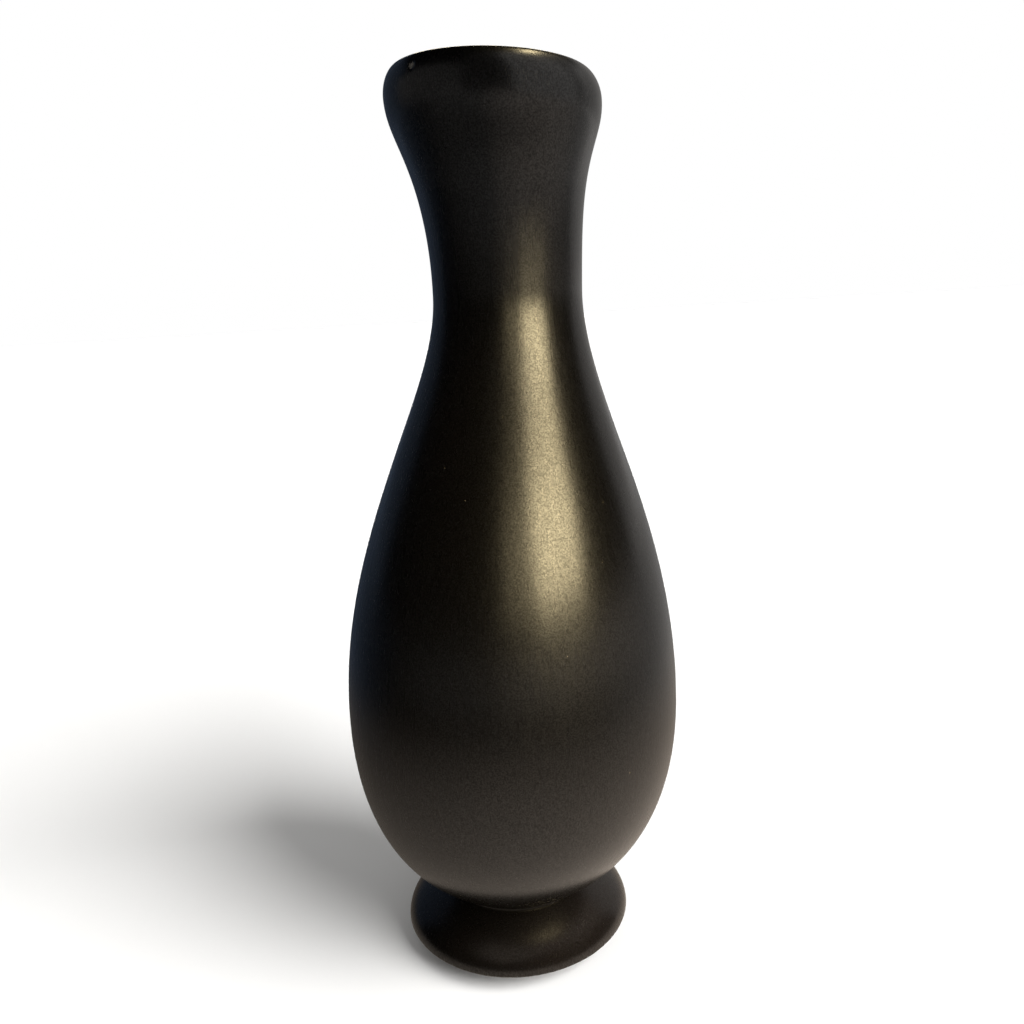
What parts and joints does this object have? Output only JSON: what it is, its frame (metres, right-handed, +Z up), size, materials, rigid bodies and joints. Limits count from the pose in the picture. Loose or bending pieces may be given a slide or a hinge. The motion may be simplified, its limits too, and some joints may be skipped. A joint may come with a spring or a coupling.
{
  "type": "clay pot",
  "caption": "Hand-built burnished black clay pot: round belly on a flared hollow foot ring, narrow neck, flared mouth with a rounded lip. Holds water or flower stems.",
  "frame": {"origin": "on the ground under the middle of the belly", "axes": "+Z up along the pot from foot to mouth; the neck leans and the foot stands back along X, with the lean towards +X; the pot is a mirror image of itself across the XZ plane"},
  "size_m": [0.1094, 0.1094, 0.2819],
  "materials": {
    "burnished_clay": "smoke-fired black clay, burnished to a satin shine with a smooth stone; matt and scraped inside",
    "slip": "fired clay slip, matt to satin"
  },
  "bodies": {
    "root": {"foot_ring": "burnished_clay", "foot_slip_seam": "slip", "base_bowl": "burnished_clay", "belly_coil_1": "burnished_clay", "belly_coil_2": "burnished_clay", "belly_coil_3": "burnished_clay", "shoulder_coil_1": "burnished_clay", "shoulder_coil_2": "burnished_clay", "shoulder_coil_3": "burnished_clay", "shoulder_coil_4": "burnished_clay", "neck_slip_seam": "slip", "neck_coil_1": "burnished_clay", "neck_coil_2": "burnished_clay", "neck_coil_3": "burnished_clay", "mouth_flare": "burnished_clay", "lip_coil": "burnished_clay"}
  },
  "joints": []
}
